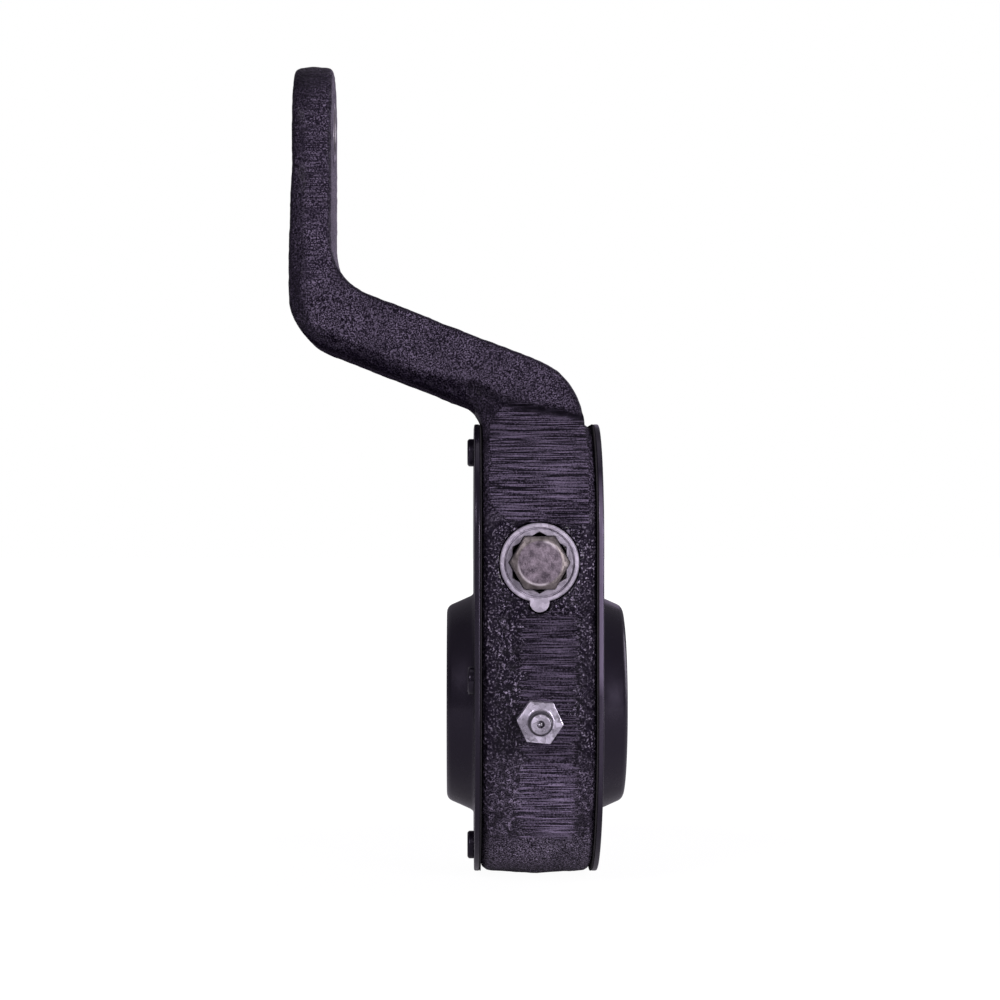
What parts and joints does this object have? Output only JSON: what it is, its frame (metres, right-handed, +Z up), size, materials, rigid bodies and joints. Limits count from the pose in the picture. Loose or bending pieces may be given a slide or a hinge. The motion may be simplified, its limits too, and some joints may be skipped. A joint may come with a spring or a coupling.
{
  "type": "brake slack adjuster",
  "caption": "Offset forged brake lever with a clevis eye, a worm and splined worm wheel under pressed covers, a sprung lock sleeve on the adjusting hexagon and a grease nipple.",
  "frame": {"origin": "centre of the splined camshaft bore, at the middle of the body's thickness", "axes": "+X along the camshaft, away from the arm's offset; +Z up along the arm; -Y is the side with the adjusting hexagon and the grease nipple"},
  "size_m": [0.0958, 0.1103, 0.2334],
  "materials": {
    "black_forging": "black enamel over a rough forging",
    "black_pressing": "smooth black enamel on pressed sheet",
    "bush_steel": "turned and hardened",
    "gasket_fibre": "pressed fibre sheet",
    "seal_rubber": "moulded",
    "gear_steel": "machined, lightly oiled",
    "shaft_steel": "bare steel with a warm tint",
    "bearing_bronze": "turned bronze",
    "sleeve_zinc": "bright zinc plate",
    "spring_wire": "drawn wire",
    "nipple_zinc": "bright zinc plate",
    "ball_steel": "polished"
  },
  "bodies": {
    "housing": {"body": "black_forging", "clevis_bush": "bush_steel", "left_cover": "black_pressing", "right_cover": "black_pressing", "left_gasket": "gasket_fibre", "right_gasket": "gasket_fibre", "rivets": "black_pressing", "left_seal": "seal_rubber", "right_seal": "seal_rubber", "front_thrust_washer": "bearing_bronze", "rear_thrust_washer": "bearing_bronze", "rear_bearing": "bearing_bronze", "end_plug": "black_pressing", "lock_spring": "spring_wire", "nipple_body": "nipple_zinc", "nipple_spring": "spring_wire"},
    "worm_set": {"worm": "gear_steel", "worm_shaft": "shaft_steel"},
    "wheel": {"worm_wheel": "gear_steel"},
    "lock": {"lock_sleeve": "sleeve_zinc"},
    "check_ball": {"nipple_ball": "ball_steel"}
  },
  "joints": [
    {"name": "worm_turn", "type": "hinge", "parent": "housing", "child": "worm_set", "pos_m": [0, 0, 0.0416], "axis": [0, 1, 0], "continuous": true},
    {"name": "wheel_turn", "type": "hinge", "parent": "housing", "child": "wheel", "pos_m": [0, 0, 0], "axis": [1, 0, 0], "continuous": true},
    {"name": "lock_slide", "type": "slide", "parent": "housing", "child": "lock", "axis": [0, 1, 0], "range_m": [0, 0.006], "stiffness_N_per_m": 3000, "springref_m": -0.005, "deforming": ["lock_spring"]},
    {"name": "ball_check", "type": "slide", "parent": "housing", "child": "check_ball", "axis": [0, 1, 0], "range_m": [0, 0.0008], "stiffness_N_per_m": 200, "springref_m": -0.001, "deforming": ["nipple_spring"]}
  ],
  "couplings": [
    {"joint": "wheel_turn", "follows": "worm_turn", "ratio": 0.038462}
  ]
}
